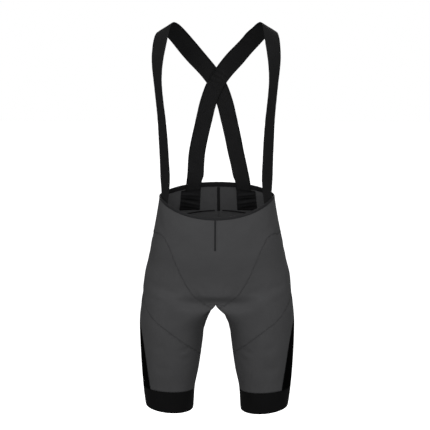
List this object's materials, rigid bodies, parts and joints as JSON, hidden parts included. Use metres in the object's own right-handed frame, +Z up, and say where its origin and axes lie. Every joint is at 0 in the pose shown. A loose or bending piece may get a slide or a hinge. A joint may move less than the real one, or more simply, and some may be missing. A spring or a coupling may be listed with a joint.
{
  "type": "cycling bib shorts",
  "caption": "Fitted cycling shorts in panelled grey knit with black side inserts and hem bands, on two wide elastic braces that cross at the back, in worn form with no wearer.",
  "frame": {"origin": "midway between the shoulders, level with the top of the braces, where the wearer carries them", "axes": "+Z up, the front faces -Y, +X is the wearer's left"},
  "size_m": [0.3712, 0.2201, 0.9253],
  "materials": {
    "grey_knit": "matte warp-knit polyamide and elastane, dark grey",
    "black_knit": "smooth matte warp-knit, black",
    "black_elastic": "woven and ribbed elastic, black",
    "charcoal_binding": "folded elastic edging, charcoal",
    "black_tape": "narrow seam tape, black"
  },
  "bodies": {
    "root": {"front_panel": "grey_knit", "back_yoke_left": "grey_knit", "back_yoke_right": "grey_knit", "seat_panel_left": "grey_knit", "seat_panel_right": "grey_knit", "hip_panel_left": "grey_knit", "hip_panel_right": "grey_knit", "crotch_gusset": "grey_knit", "leg_panel_left": "grey_knit", "leg_panel_right": "grey_knit", "side_insert_left": "black_knit", "side_insert_right": "black_knit", "hem_band_left": "black_elastic", "hem_band_right": "black_elastic", "waist_binding_front": "charcoal_binding", "waist_binding_back": "black_elastic", "front_seam_tape": "charcoal_binding", "back_seam_tape": "black_tape", "yoke_seam_tape_left": "black_tape", "yoke_seam_tape_right": "black_tape", "strap_left": "black_elastic", "strap_right": "black_elastic", "strap_anchor_left": "black_elastic", "strap_anchor_right": "black_elastic"}
  },
  "joints": []
}
